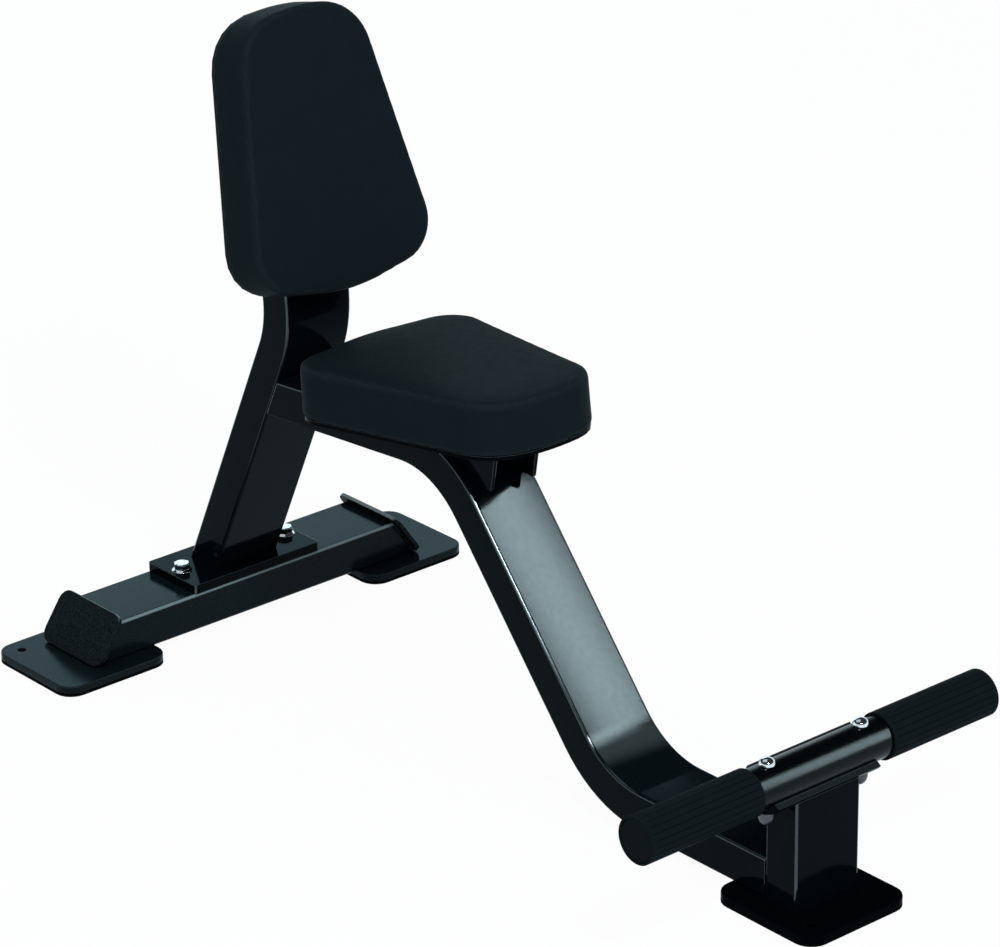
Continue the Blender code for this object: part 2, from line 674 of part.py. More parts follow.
def grip(name, side):
    """Fluted rubber sleeve with plain collars, and the plug closing the bar's end inside it."""
    plain = fluted_ring(0, 0)
    bore = FOOTREST_RADIUS + SEAM
    run_in = GRIP_COLLAR + 2 * FLUTE_DEEP
    rings = [scaled_ring(plain, bore, GRIP_START),
             scaled_ring(plain, GRIP_RADIUS - GRIP_ROUND, GRIP_START),
             scaled_ring(plain, GRIP_RADIUS, GRIP_START + GRIP_ROUND),
             scaled_ring(plain, GRIP_RADIUS, GRIP_START + GRIP_COLLAR),
             fluted_ring(GRIP_START + run_in, FLUTE_DEEP),
             fluted_ring(GRIP_END - run_in, FLUTE_DEEP),
             scaled_ring(plain, GRIP_RADIUS, GRIP_END - GRIP_COLLAR),
             scaled_ring(plain, GRIP_RADIUS, GRIP_END - GRIP_ROUND),
             scaled_ring(plain, GRIP_RADIUS - GRIP_ROUND, GRIP_END),
             scaled_ring(plain, bore, GRIP_END)]
    finish(name + "_grip", along_x(skinned(rings, closed=True), side), GRIP_RUBBER, radians(25))
    stem = FOOTREST_RADIUS - FOOTREST_WALL - SEAM
    face = FOOTREST_RADIUS - SEAM
    low = FOOTREST_HALF + SEAM
    plug = [(0, low - GRIP_CAP_STEM), (stem, low - GRIP_CAP_STEM), (stem, low), (face, low),
            (face, low + GRIP_CAP_FACE), (0, low + GRIP_CAP_FACE)]
    finish(name + "_grip_cap", along_x(turned(plug), side), CAP_PLASTIC)


# Pads

def pad_corners(low, high, middle_half, taper, low_bow, high_bow):
    """Corners of a pad whose sides converge toward high and whose two ends bow outward."""
    low_half = middle_half - taper * low
    high_half = middle_half - taper * high
    return [(-low_half, low + low_bow), (0, low), (low_half, low + low_bow),
            (high_half, high - high_bow), (0, high), (-high_half, high - high_bow)]


def pad_radii(low_corner, high_corner):
    """Corner radii in the order of pad_corners."""
    return [low_corner, PAD_BOW_RADIUS, low_corner, high_corner, PAD_BOW_RADIUS, high_corner]


def cushion_profile(deep):
    """Side of a cushion as (inset, height): tucked in at the board, rounded at the top edge, then crowned."""
    profile = []
    for step in range(TUCK_STEPS):
        swing = pi / 2 * step / TUCK_STEPS
        profile.append((CUSHION_TUCK * (1 - sin(swing)), CUSHION_TUCK_TALL * (1 - cos(swing))))
    profile.append((0.0, deep / 2))
    for step in range(ROUNDING_STEPS):
        swing = pi / 2 * step / ROUNDING_STEPS
        profile.append((CUSHION_ROUND * (1 - cos(swing)), deep - CUSHION_ROUND * (1 - sin(swing))))
    for step in range(CROWN_STEPS + 1):
        share = step / CROWN_STEPS
        inset = CUSHION_ROUND + (CUSHION_DOME - CUSHION_ROUND) * share
        profile.append((inset, deep + CUSHION_CROWN * sin(pi / 2 * share)))
    return profile


def cushion(name, corners, radii, place, bottom, deep):
    """Crowned cushion on the pad's outline."""
    rings = []
    for inset, height in cushion_profile(deep):
        kept_round = [max(radius, inset + CUSHION_LEAST_CORNER) for radius in radii]
        outline = rounded(corners, kept_round, inset, PAD_CORNER_STEPS, PAD_SIDE_STEPS)
        rings.append([Vector((u, v, bottom + height)) for u, v in outline])
    finish(name, placed(skinned(rings), place), UPHOLSTERY, radians(40))


def pad(name, place, corners, radii, deep, plate_thick, plate_low, plate_high):
    """Mounting plate on the frame, board on the plate, cushion on the board, and four screws."""
    plate_bottom = SEAM
    board_bottom = plate_bottom + plate_thick + SEAM
    cushion_bottom = board_bottom + BOARD_THICK + SEAM
    plate_corners = [(-PLATE_HALF_WIDE, plate_low), (PLATE_HALF_WIDE, plate_low),
                     (PLATE_HALF_WIDE, plate_high), (-PLATE_HALF_WIDE, plate_high)]
    plate_shape = slab(rounded(plate_corners, [PLATE_CORNER] * 4, steps=4), plate_bottom, plate_bottom + plate_thick)
    plate = finish(name + "_mount_plate", placed(plate_shape, place), PLATE_PAINT)
    board_outline = rounded(corners, radii, BOARD_INSET, PAD_CORNER_STEPS)
    board_shape = slab(board_outline, board_bottom, board_bottom + BOARD_THICK)
    board = finish(name + "_board", placed(board_shape, place), BOARD_PLASTIC)
    cushion(name + "_cushion", corners, radii, place, cushion_bottom, deep)
    head_low = plate_bottom - SEAM - SCREW_HEAD_TALL
    head_high = plate_bottom - SEAM
    screw_tip = board_bottom + BOARD_THICK
    spots = [("front" if name == "seat" else "bottom", plate_low + SCREW_FROM_END),
             ("rear" if name == "seat" else "top", plate_high - SCREW_FROM_END)]
    for end_name, along in spots:
        for side_name, across in (("left", -SCREW_X), ("right", SCREW_X)):
            title = name + "_" + end_name + "_" + side_name
            spot = place @ Matrix.Translation((across, along, 0))
            hole = cutter(title + "_drill", rod(SCREW_RADIUS + BOLT_ROOM, -TUBE_DEEP, TUBE_DEEP, spot, SCREW_STEPS))
            cut(plate, hole)
            cut(board, hole)
            profile = [(0, head_low), (SCREW_HEAD_RADIUS - HEAD_CHAMFER, head_low),
                       (SCREW_HEAD_RADIUS, head_low + HEAD_CHAMFER), (SCREW_HEAD_RADIUS, head_high),
                       (SCREW_RADIUS, head_high), (SCREW_RADIUS, screw_tip), (0, screw_tip)]
            finish(title + "_screw", placed(turned(profile, SCREW_STEPS), spot), SCREW_STEEL, radians(30))


def seat_frame():
    """Placement on the top face of the spine's rear run, with local Y running rearward."""
    start, low, high, end = spine_nodes()
    rearward = (end - high).normalized()
    upward = X_AXIS.cross(rearward)
    on_top = high + upward * TUBE_DEEP / 2
    reach = (SEAT_Y - on_top.y) / rearward.y
    return frame_of(on_top + rearward * reach, X_AXIS, rearward)


def back_frame():
    """Placement on the front face of the upright's upper leg, with local Y running up it."""
    foot_point, bend, top = upright_nodes()
    upward = (top - bend).normalized()
    forward = X_AXIS.cross(upward)
    on_front = bend + forward * TUBE_DEEP / 2
    reach = (BACK_Z - on_front.z) / upward.z
    return frame_of(on_front + upward * reach, X_AXIS, upward)


def seat():
    """Seat pad, wide at the back and narrow at the front."""
    corners = pad_corners(SEAT_FRONT, SEAT_REAR, SEAT_MIDDLE_HALF, -SEAT_TAPER, SEAT_FRONT_BOW, SEAT_REAR_BOW)
    radii = pad_radii(SEAT_FRONT_CORNER, SEAT_REAR_CORNER)
    pad("seat", seat_frame(), corners, radii, SEAT_CUSHION_DEEP, SEAT_PLATE_THICK, SEAT_PLATE_FRONT, SEAT_PLATE_REAR)


def back():
    """Back pad, wide at the bottom and narrow at the top."""
    corners = pad_corners(BACK_BOTTOM, BACK_TOP, BACK_MIDDLE_HALF, BACK_TAPER, BACK_BOTTOM_BOW, BACK_TOP_BOW)
    radii = pad_radii(BACK_BOTTOM_CORNER, BACK_TOP_CORNER)
    pad("back", back_frame(), corners, radii, BACK_CUSHION_DEEP, BACK_PLATE_THICK, BACK_PLATE_BOTTOM, BACK_PLATE_TOP)


def gussets():
    """Two upright plates between the seat plate and the top of the spine's high bend."""
    start, low, high, end = spine_nodes()
    climbing = (high - low).normalized()
    rearward = (end - high).normalized()
    turn = climbing.angle(rearward)
    bend_start = high - climbing * BEND_RADIUS * tan(turn / 2)
    centre = bend_start + climbing.cross(X_AXIS) * BEND_RADIUS
    reach = BEND_RADIUS + TUBE_DEEP / 2 + SEAM
    outward = bend_start - centre
    top_frame = seat_frame()
    plane_point = top_frame.translation
    plane_normal = top_frame.to_3x3() @ Z_AXIS
    lower = Vector((0, GUSSET_FRONT_Y, GUSSET_FRONT_Z))
    lean = Vector((0, -GUSSET_LEAN, 1))
    upper = lower + lean * (plane_point - lower).dot(plane_normal) / lean.dot(plane_normal)
    profile = [upper, lower]
    first = asin((lower.z - centre.z) / reach)
    last = pi / 2 - SEAT_FALL
    tail = []
    for step in range(GUSSET_STEPS + 1):
        angle = first + (last - first) * step / GUSSET_STEPS
        point = centre + Vector((0, -cos(angle), sin(angle))) * reach
        depth = (plane_point - point).dot(plane_normal)
        if depth > GUSSET_TAIL:
            tail.append(point)
    profile += tail
    profile.append(tail[-1] + plane_normal * (plane_point - tail[-1]).dot(plane_normal))
    for side, name in ((-1, "left"), (1, "right")):
        middle = side * (GUSSET_OUTER_X - GUSSET_THICK / 2)
        rings = [[point + X_AXIS * (middle + offset) for point in profile]
                 for offset in (-GUSSET_THICK / 2, GUSSET_THICK / 2)]
        finish(name + "_seat_gusset", skinned(rings), FRAME_PAINT)


feet()
crossbar()
upright()
spine()
post()
cradle()
footrest_bar()
for bar_side, bar_name in ((-1, "left"), (1, "right")):
    footrest_bolt(bar_name, bar_side)
    grip(bar_name, bar_side)
seat()
back()
gussets()
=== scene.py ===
"""Looks of the utility bench: camera, studio, procedural materials and stuffed cushions.

Metres, +Z up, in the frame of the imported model. The sitter faces -Y.
"""

import json
from math import cos, pi, radians, sin, tan

import bmesh
import bpy
import numpy
from mathutils import Matrix, Vector

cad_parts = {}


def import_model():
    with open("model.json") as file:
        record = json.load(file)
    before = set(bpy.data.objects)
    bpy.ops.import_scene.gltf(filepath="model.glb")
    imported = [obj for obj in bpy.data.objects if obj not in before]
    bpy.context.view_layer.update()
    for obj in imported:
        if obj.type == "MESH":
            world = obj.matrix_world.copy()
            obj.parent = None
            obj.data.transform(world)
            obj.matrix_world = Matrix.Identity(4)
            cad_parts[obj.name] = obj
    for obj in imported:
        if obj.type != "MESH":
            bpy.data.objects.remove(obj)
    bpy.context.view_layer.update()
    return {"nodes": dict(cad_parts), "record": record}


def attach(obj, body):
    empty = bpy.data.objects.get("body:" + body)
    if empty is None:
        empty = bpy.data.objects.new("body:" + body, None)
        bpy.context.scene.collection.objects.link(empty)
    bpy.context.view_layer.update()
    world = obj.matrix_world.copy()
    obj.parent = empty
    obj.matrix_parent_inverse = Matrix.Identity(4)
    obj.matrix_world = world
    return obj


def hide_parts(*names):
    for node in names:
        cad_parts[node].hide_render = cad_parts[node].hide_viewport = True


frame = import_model()
nodes = frame["nodes"]
scene = bpy.context.scene
scene.view_settings.view_transform = "Standard"

# Camera, solved from the photograph
CAMERA_AT = Vector((-3.2275, -3.7735, 2.5400))
CAMERA_TURN = radians(-40.528)
CAMERA_RAISE = radians(23.714)
CAMERA_ROLL = radians(-0.758)
CAMERA_LENS = 164.77
SENSOR_WIDE = 36.0

# Studio
FLOOR_HALF = 30.0
FLOOR_COLOUR = (0.86, 0.86, 0.86, 1)
FLOOR_GLOW = 0.96
WORLD_LIGHT = 0.62
WORLD_COLOUR = (0.90, 0.96, 1.0, 1)
CEILING = 0.03
CEILING_FROM = 0.28
CEILING_FULL = 0.42
WHITE = (1, 1, 1, 1)
COOL_WHITE = (0.78, 0.93, 1, 1)
AIM = Vector((0, 0, 0.35))
LAMP_AWAY = 3.6
KEY_COLOUR = (0.82, 0.96, 1.0)
SIDE_COLOUR = (0.85, 0.96, 1.0)
TOP_COLOUR = (0.78, 0.93, 1.0)
REAR_COLOUR = (0.52, 0.85, 1.0)

# Seat and back pads: outline, stack and place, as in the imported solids
PAD_BOW_RADIUS = 0.250
CUSHION_ROUND = 0.0065
CUSHION_CROWN = 0.0035
SEAT_TUCK = 0.0020
CUSHION_TUCK_TALL = 0.0060
CUSHION_DOME = 0.0600
FULLER_EDGE = 0.0020
FULLER_SIDE = 0.0008
LEAST_CORNER = 0.0040
ROUND_STEPS = 10
SIDE_STEPS = 10
PROFILE_STEPS = 8
SEAT_ORIGIN = Vector((0, 0.1116, 0.4002))
SEAT_FALL = radians(4.9)
SEAT_BOTTOM = 0.0106
SEAT_DEEP = 0.0624
SEAT_FRONT = -0.2160
SEAT_REAR = 0.1405
SEAT_HALF = 0.1182
SEAT_TAPER = -0.147
SEAT_FRONT_BOW = 0.0128
SEAT_REAR_BOW = 0.0203
SEAT_FRONT_ROUND = 0.067
SEAT_REAR_ROUND = 0.047
BACK_ORIGIN = Vector((0, 0.3889, 0.6697))
BACK_LEAN = radians(16)
BACK_BOTTOM = 0.0156
BACK_DEEP = 0.0604
BACK_LOW = -0.1846
BACK_HIGH = 0.1732
BACK_HALF = 0.1160
BACK_TAPER = 0.143
BACK_LOW_BOW = 0.0265
BACK_HIGH_BOW = 0.0135
BACK_LOW_ROUND = 0.055
BACK_HIGH_ROUND = 0.071

# Stuffing
SWELL = 0.0010
SWELL_FROM = 0.012
VOXEL = 0.004
PRESSURE = 4.0
STRETCH_STIFFNESS = 40
BENDING_STIFFNESS = 2.0
CLOTH_FRAMES = 20
SMOOTH_PASSES = 40
LEAST_MOVE = 1e-9

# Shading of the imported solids
EDGE_SAMPLES = 6
JOIN_DISTANCE = 0.00002
SHARP_ANGLE = radians(38)


# Camera and studio

def camera():
    """The photograph's camera."""
    flat = cos(CAMERA_RAISE)
    back = Vector((sin(CAMERA_TURN) * flat, -cos(CAMERA_TURN) * flat, sin(CAMERA_RAISE)))
    level = Vector((0, 0, 1)).cross(back).normalized()
    upright = back.cross(level)
    right = level * cos(CAMERA_ROLL) + upright * sin(CAMERA_ROLL)
    up = upright * cos(CAMERA_ROLL) - level * sin(CAMERA_ROLL)
    data = bpy.data.cameras.new("camera")
    data.sensor_width = SENSOR_WIDE
    data.lens = CAMERA_LENS
    data.clip_start = 0.1
    data.clip_end = 100.0
    made = bpy.data.objects.new("camera", data)
    scene.collection.objects.link(made)
    turn = Matrix((right, up, back)).transposed().to_4x4()
    made.matrix_world = Matrix.Translation(CAMERA_AT) @ turn
    scene.camera = made


def fade(data, start, stop):
    """Let a lamp grow weaker toward the far end of its tall side."""
    data.use_nodes = True
    tree = data.node_tree
    place = tree.nodes.new("ShaderNodeNewGeometry")
    split = tree.nodes.new("ShaderNodeSeparateXYZ")
    weaker = tree.nodes.new("ShaderNodeMapRange")
    weaker.interpolation_type = "SMOOTHSTEP"
    weaker.inputs["From Min"].default_value = start
    weaker.inputs["From Max"].default_value = stop
    weaker.inputs["To Min"].default_value = 1.0
    weaker.inputs["To Max"].default_value = 0.0
    tree.links.new(place.outputs["Parametric"], split.inputs[0])
    tree.links.new(split.outputs["Y"], weaker.inputs["Value"])
    tree.links.new(weaker.outputs["Result"], tree.nodes["Emission"].inputs["Strength"])


def lamp(name, direction, wide, tall, power, colour, distance=LAMP_AWAY, along=(0, 0, 1)):
    """Soft box that faces the bench from the given direction, its tall side turned along a vector."""
    data = bpy.data.lights.new(name, "AREA")
    data.shape = "RECTANGLE"
    data.size = wide
    data.size_y = tall
    data.energy = power
    data.color = colour
    made = bpy.data.objects.new(name, data)
    scene.collection.objects.link(made)
    toward = Vector(direction).normalized()
    side = Vector(along).cross(toward).normalized()
    turn = Matrix((side, toward.cross(side), toward)).transposed().to_4x4()
    made.matrix_world = Matrix.Translation(AIM + toward * distance) @ turn
    return made


def aimed(light, things):
    """Let a lamp light the given things alone."""
    chosen = bpy.data.collections.new(light.name + "_things")
    for thing in things:
        chosen.objects.link(thing)
    light.light_linking.receiver_collection = chosen
    for entry in chosen.collection_objects:
        entry.light_linking.link_state = "INCLUDE"


def shown_ray(tree):
    """One for a ray from the camera, off a gloss or through glass, and zero for the rest."""
    rays = tree.nodes.new("ShaderNodeLightPath")
    first = tree.nodes.new("ShaderNodeMath")
    first.operation = "MAXIMUM"
    second = tree.nodes.new("ShaderNodeMath")
    second.operation = "MAXIMUM"
    tree.links.new(rays.outputs["Is Camera Ray"], first.inputs[0])
    tree.links.new(rays.outputs["Is Glossy Ray"], first.inputs[1])
    tree.links.new(first.outputs[0], second.inputs[0])
    tree.links.new(rays.outputs["Is Transmission Ray"], second.inputs[1])
    return second.outputs[0]


def backdrop_colour(tree):
    """White to the camera, and a cooler white in glosses."""
    rays = tree.nodes.new("ShaderNodeLightPath")
    tint = tree.nodes.new("ShaderNodeMix")
    tint.data_type = "RGBA"
    tint.inputs["A"].default_value = COOL_WHITE
    tint.inputs["B"].default_value = WHITE
    tree.links.new(rays.outputs["Is Camera Ray"], tint.inputs["Factor"])
    return tint.outputs["Result"]


def world():
    """Even light on the bench, and behind it a white backdrop that darkens overhead like a ceiling."""
    made = bpy.data.worlds.new("studio")
    made.use_nodes = True
    scene.world = made
    tree = made.node_tree
    tree.nodes.clear()
    light = tree.nodes.new("ShaderNodeBackground")
    light.inputs["Color"].default_value = WORLD_COLOUR
    light.inputs["Strength"].default_value = WORLD_LIGHT
    place = tree.nodes.new("ShaderNodeTexCoord")
    split = tree.nodes.new("ShaderNodeSeparateXYZ")
    ceiling = tree.nodes.new("ShaderNodeMapRange")
    ceiling.interpolation_type = "SMOOTHSTEP"
    ceiling.inputs["From Min"].default_value = CEILING_FROM
    ceiling.inputs["From Max"].default_value = CEILING_FULL
    ceiling.inputs["To Min"].default_value = 1.0
    ceiling.inputs["To Max"].default_value = CEILING
    white = tree.nodes.new("ShaderNodeBackground")
    tree.links.new(backdrop_colour(tree), white.inputs["Color"])
    mix = tree.nodes.new("ShaderNodeMixShader")
    out = tree.nodes.new("ShaderNodeOutputWorld")
    tree.links.new(place.outputs["Generated"], split.inputs[0])
    tree.links.new(split.outputs["Z"], ceiling.inputs["Value"])
    tree.links.new(ceiling.outputs["Result"], white.inputs["Strength"])
    tree.links.new(shown_ray(tree), mix.inputs["Fac"])
    tree.links.new(light.outputs[0], mix.inputs[1])
    tree.links.new(white.outputs[0], mix.inputs[2])
    tree.links.new(mix.outputs[0], out.inputs["Surface"])


def floor():
    """Pale floor that takes the bench's shadow."""
    shape = bmesh.new()
    bmesh.ops.create_grid(shape, x_segments=1, y_segments=1, size=FLOOR_HALF)
    mesh = bpy.data.meshes.new("floor")
    shape.to_mesh(mesh)
    shape.free()
    made = bpy.data.objects.new("floor", mesh)
    scene.collection.objects.link(made)
    look = bpy.data.materials.new("floor")
    look.use_nodes = True
    tree = look.node_tree
    tree.nodes.clear()
    matt = tree.nodes.new("ShaderNodeBsdfDiffuse")
    matt.inputs["Color"].default_value = FLOOR_COLOUR
    glow = tree.nodes.new("ShaderNodeEmission")
    glow.inputs["Strength"].default_value = 1.0
    tree.links.new(backdrop_colour(tree), glow.inputs["Color"])
    share = tree.nodes.new("ShaderNodeMath")
    share.operation = "MULTIPLY"
    share.inputs[1].default_value = FLOOR_GLOW
    mix = tree.nodes.new("ShaderNodeMixShader")
    out = tree.nodes.new("ShaderNodeOutputMaterial")
    tree.links.new(shown_ray(tree), share.inputs[0])
    tree.links.new(share.outputs[0], mix.inputs["Fac"])
    tree.links.new(matt.outputs[0], mix.inputs[1])
    tree.links.new(glow.outputs[0], mix.inputs[2])
    tree.links.new(mix.outputs[0], out.inputs["Surface"])
    mesh.materials.append(look)


def studio():
    """Camera, floor and soft lamps. The keys, which the painted tubes mirror, are returned."""
    camera()
    world()
    floor()
    lamp("front", (-0.25, -0.66, 0.71), wide=0.4, tall=0.4, power=50, colour=SIDE_COLOUR)
    lamp("top", (-0.15, 0.25, 1.0), wide=2.6, tall=2.6, power=12, colour=TOP_COLOUR, distance=3.2)
    lamp("rear", (0.38, 0.86, 0.36), wide=3.0, tall=0.9, power=16, colour=REAR_COLOUR, distance=4.0)
    low_key = lamp("low_key", (0.589, -0.489, 0.643), wide=0.22, tall=1.50, power=160, colour=KEY_COLOUR,
                   along=(-0.09, 0.72, 0.69))
    fade(low_key.data, 0.30, 0.95)
    high_key = lamp("high_key", (0.616, -0.21, 0.760), wide=0.60, tall=1.90, power=45, colour=KEY_COLOUR,
                    along=(0.27, 0.85, 0.45))
    fade(high_key.data, 0.3, 1.0)
    side_key = lamp("side_key", (-0.54, -0.55, 0.64), wide=0.7, tall=2.4, power=40, colour=SIDE_COLOUR,
                    along=(-0.57, 0.28, -0.24))
    bar_key = lamp("bar_key", (0.60, -0.72, 0.33), wide=0.8, tall=2.0, power=100, colour=KEY_COLOUR,
                   along=(-0.2, 0.3, 1))
    return low_key, high_key, side_key, bar_key


# Materials

class Look:
    """Node builder round one Principled shader."""

    def __init__(self, name):
        self.material = bpy.data.materials.new(name)
        self.material.use_nodes = True
        self.tree = self.material.node_tree
        self.shader = self.tree.nodes["Principled BSDF"]
        place = self.tree.nodes.new("ShaderNodeTexCoord")
        self.place = place.outputs["Object"]

    def set(self, **values):
        """Set plain values on the shader's own sockets."""
        for socket, value in values.items():
            self.shader.inputs[socket.replace("_", " ")].default_value = value

    def noise(self, scale, detail=3.0, rough=0.5):
        """Soft noise with the given number of cells per metre."""
        node = self.tree.nodes.new("ShaderNodeTexNoise")
        node.inputs["Scale"].default_value = scale
        node.inputs["Detail"].default_value = detail
        node.inputs["Roughness"].default_value = rough
        self.tree.links.new(self.place, node.inputs["Vector"])
        return node.outputs["Fac"]

    def cells(self, scale):
        """Distance to the nearest edge of a pattern of small cells."""
        node = self.tree.nodes.new("ShaderNodeTexVoronoi")
        node.feature = "DISTANCE_TO_EDGE"
        node.inputs["Scale"].default_value = scale
        self.tree.links.new(self.place, node.inputs["Vector"])
        return node.outputs["Distance"]

    def ranged(self, value, low, high, to_low=0, to_high=1):
        """The value stretched from one range to another."""
        node = self.tree.nodes.new("ShaderNodeMapRange")
        for socket, number in zip(("From Min", "From Max", "To Min", "To Max"), (low, high, to_low, to_high)):
            node.inputs[socket].default_value = number
        self.tree.links.new(value, node.inputs["Value"])
        return node.outputs["Result"]

    def blend(self, share, first, second):
        """Colour between the first and the second."""
        node = self.tree.nodes.new("ShaderNodeMix")
        node.data_type = "RGBA"
        node.inputs["A"].default_value = (*first, 1)
        node.inputs["B"].default_value = (*second, 1)
        self.tree.links.new(share, node.inputs["Factor"])
        return node.outputs["Result"]

    def speckled(self, speckle, dark, light):
        """Dark colour with specks of the light one."""
        return self.blend(self.ranged(speckle, 0.35, 0.65), dark, light)

    def colour(self, source):
        """Colour of the surface."""
        self.tree.links.new(source, self.shader.inputs["Base Color"])

    def roughness(self, scale, low, high):
        """Roughness that drifts between two values, in cells of the given number per metre."""
        drift = self.ranged(self.noise(scale), 0.3, 0.7, low, high)
        self.tree.links.new(drift, self.shader.inputs["Roughness"])

    def edges(self, radius):
        """Normal that rounds off sharp edges."""
        node = self.tree.nodes.new("ShaderNodeBevel")
        node.samples = EDGE_SAMPLES
        node.inputs["Radius"].default_value = radius
        return node.outputs["Normal"]

    def toward(self, normal, axis):
        """How far the normal points along an axis."""
        split = self.tree.nodes.new("ShaderNodeSeparateXYZ")
        self.tree.links.new(normal, split.inputs[0])
        return split.outputs[axis]

    def either(self, value):
        """The value without its sign."""
        node = self.tree.nodes.new("ShaderNodeMath")
        node.operation = "ABSOLUTE"
        self.tree.links.new(value, node.inputs[0])
        return node.outputs[0]

    def both(self, first, second):
        """Product of two shares."""
        node = self.tree.nodes.new("ShaderNodeMath")
        node.operation = "MULTIPLY"
        self.tree.links.new(first, node.inputs[0])
        self.tree.links.new(second, node.inputs[1])
        return node.outputs[0]

    def between(self, value):
        """Share of the surface that faces neither along an axis nor across it: a tube's round arrises."""
        return self.both(self.ranged(value, 0.18, 0.32), self.ranged(value, 0.93, 0.98, 1, 0))

    def with_painted_highlight(self, source, share, pale):
        """The colour, with a painted highlight of the pale colour over the given share."""
        node = self.tree.nodes.new("ShaderNodeMix")
        node.data_type = "RGBA"
        node.inputs["B"].default_value = (*pale, 1)
        self.tree.links.new(share, node.inputs["Factor"])
        self.tree.links.new(source, node.inputs["A"])
        return node.outputs["Result"]

    def bulge(self):
        """Share of the surface that bulges into a round edge, where a highlight is painted."""
        face = self.tree.nodes.new("ShaderNodeNewGeometry")
        return self.ranged(face.outputs["Pointiness"], 0.505, 0.530)

    def sharp(self, normal):
        """Share of the surface beside sharp edges that face up, where a highlight is painted."""
        face = self.tree.nodes.new("ShaderNodeNewGeometry")
        agree = self.tree.nodes.new("ShaderNodeVectorMath")
        agree.operation = "DOT_PRODUCT"
        self.tree.links.new(face.outputs["Normal"], agree.inputs[0])
        self.tree.links.new(normal, agree.inputs[1])
        upward = self.ranged(self.toward(normal, "Z"), 0.1, 0.4)
        return self.both(self.ranged(agree.outputs["Value"], 0.99, 0.90), upward)

    def shine(self, share, low, high):
        """Mirror level that rises over the given share."""
        self.tree.links.new(self.ranged(share, 0, 1, low, high), self.shader.inputs["Specular IOR Level"])

    def bump(self, layers, normal=None):
        """Stack of (height source, depth in metres) on the surface's normal."""
        for source, depth in layers:
            node = self.tree.nodes.new("ShaderNodeBump")
            node.inputs["Strength"].default_value = 1.0
            node.inputs["Distance"].default_value = depth
            self.tree.links.new(source, node.inputs["Height"])
            if normal:
                self.tree.links.new(normal, node.inputs["Normal"])
            normal = node.outputs["Normal"]
        self.tree.links.new(normal, self.shader.inputs["Normal"])
        return self.material


# Tint of what the coats mirror, and the colours of the highlights painted on the rear parts' upper arrises
TINT = (0.80, 0.95, 1.0, 1)
FOOT_ARRIS_HIGHLIGHT = (0.018, 0.027, 0.031)
CROSSBAR_ARRIS_HIGHLIGHT = (0.190, 0.250, 0.270)


def frame_paint():
    """Semi-gloss black powder coat with a fine orange peel."""
    look = Look("frame_paint")
    look.set(Specular_Tint=TINT)
    speckle = look.noise(1100, 2)
    arris = look.edges(0.0016)
    upper = look.ranged(look.toward(arris, "Z"), -0.25, -0.05)
    lengthwise = look.between(look.either(look.toward(arris, "X")))
    look.shine(look.both(lengthwise, upper), 0.027, 1.0)
    coat = look.speckled(speckle, (0.0008, 0.0019, 0.0025), (0.0017, 0.0033, 0.0043))
    # Painted highlight: the coat goes paler beside sharp edges that face up.
    look.colour(look.with_painted_highlight(coat, look.sharp(arris), (0.030, 0.044, 0.050)))
    look.roughness(160, 0.08, 0.11)
    return look.bump([(look.noise(800, 1), 0.000014), (speckle, 0.000005)], arris)


def cradle_paint():
    """The frame's coat, with a painted highlight on the half pipe's upward-facing edge."""
    look = Look("cradle_paint")
    look.set(Specular_Tint=TINT)
    speckle = look.noise(1100, 2)
    arris = look.edges(0.0004)
    coat = look.speckled(speckle, (0.0006, 0.0014, 0.0019), (0.0013, 0.0025, 0.0033))
    # Painted highlight: where the half pipe's edge faces up, the coat is paler and mirrors more.
    rim_highlight = look.ranged(look.toward(arris, "Z"), 0.80, 0.90)
    look.shine(rim_highlight, 0.0125, 0.070)
    look.colour(look.with_painted_highlight(coat, rim_highlight, (0.165, 0.205, 0.225)))
    look.roughness(160, 0.11, 0.14)
    return look.bump([(look.noise(800, 1), 0.000014), (speckle, 0.000005)], arris)


def bar_paint():
    """Softer gloss on the footrest bar."""
    look = Look("bar_paint")
    look.set(Specular_Tint=TINT, Specular_IOR_Level=0.125)
    speckle = look.noise(900, 2)
    look.colour(look.speckled(speckle, (0.0003, 0.0007, 0.0009), (0.0008, 0.0015, 0.0019)))
    look.roughness(160, 0.17, 0.21)
    return look.bump([(look.noise(800, 1), 0.00014), (speckle, 0.00003)], look.edges(0.0012))


def front_foot_shaded_paint():
    """Gloss coat on the front foot, darkened with its mirror level turned almost off: painted shade standing
    in for the dark reflection of the post.
    """
    look = Look("front_foot_shaded_paint")
    look.set(Specular_Tint=TINT, Specular_IOR_Level=0.006)
    speckle = look.noise(1100, 2)
    look.colour(look.speckled(speckle, (0.0004, 0.0010, 0.0014), (0.0010, 0.0019, 0.0025)))
    look.roughness(160, 0.08, 0.14)
    return look.bump([(look.noise(500, 1), 0.000012), (speckle, 0.000004)], look.edges(0.0015))


def foot_paint(name, pale):
    """Textured powder coat on the rear feet and the crossbar, with a highlight painted on the upper arrises.
    """
    look = Look(name)
    look.set(Specular_Tint=TINT, Specular_IOR_Level=0.060)
    speckle = look.noise(700, 2, 0.6)
    arris = look.edges(0.0022)
    coat = look.speckled(speckle, (0.0017, 0.0036, 0.0048), (0.0067, 0.0118, 0.0146))
    # Painted highlight: the coat goes paler on the arrises that face up.
    look.colour(look.with_painted_highlight(coat, look.between(look.toward(arris, "Z")), pale))
    look.roughness(160, 0.14, 0.18)
    return look.bump([(look.noise(700, 1), 0.00004), (speckle, 0.00002)], arris)


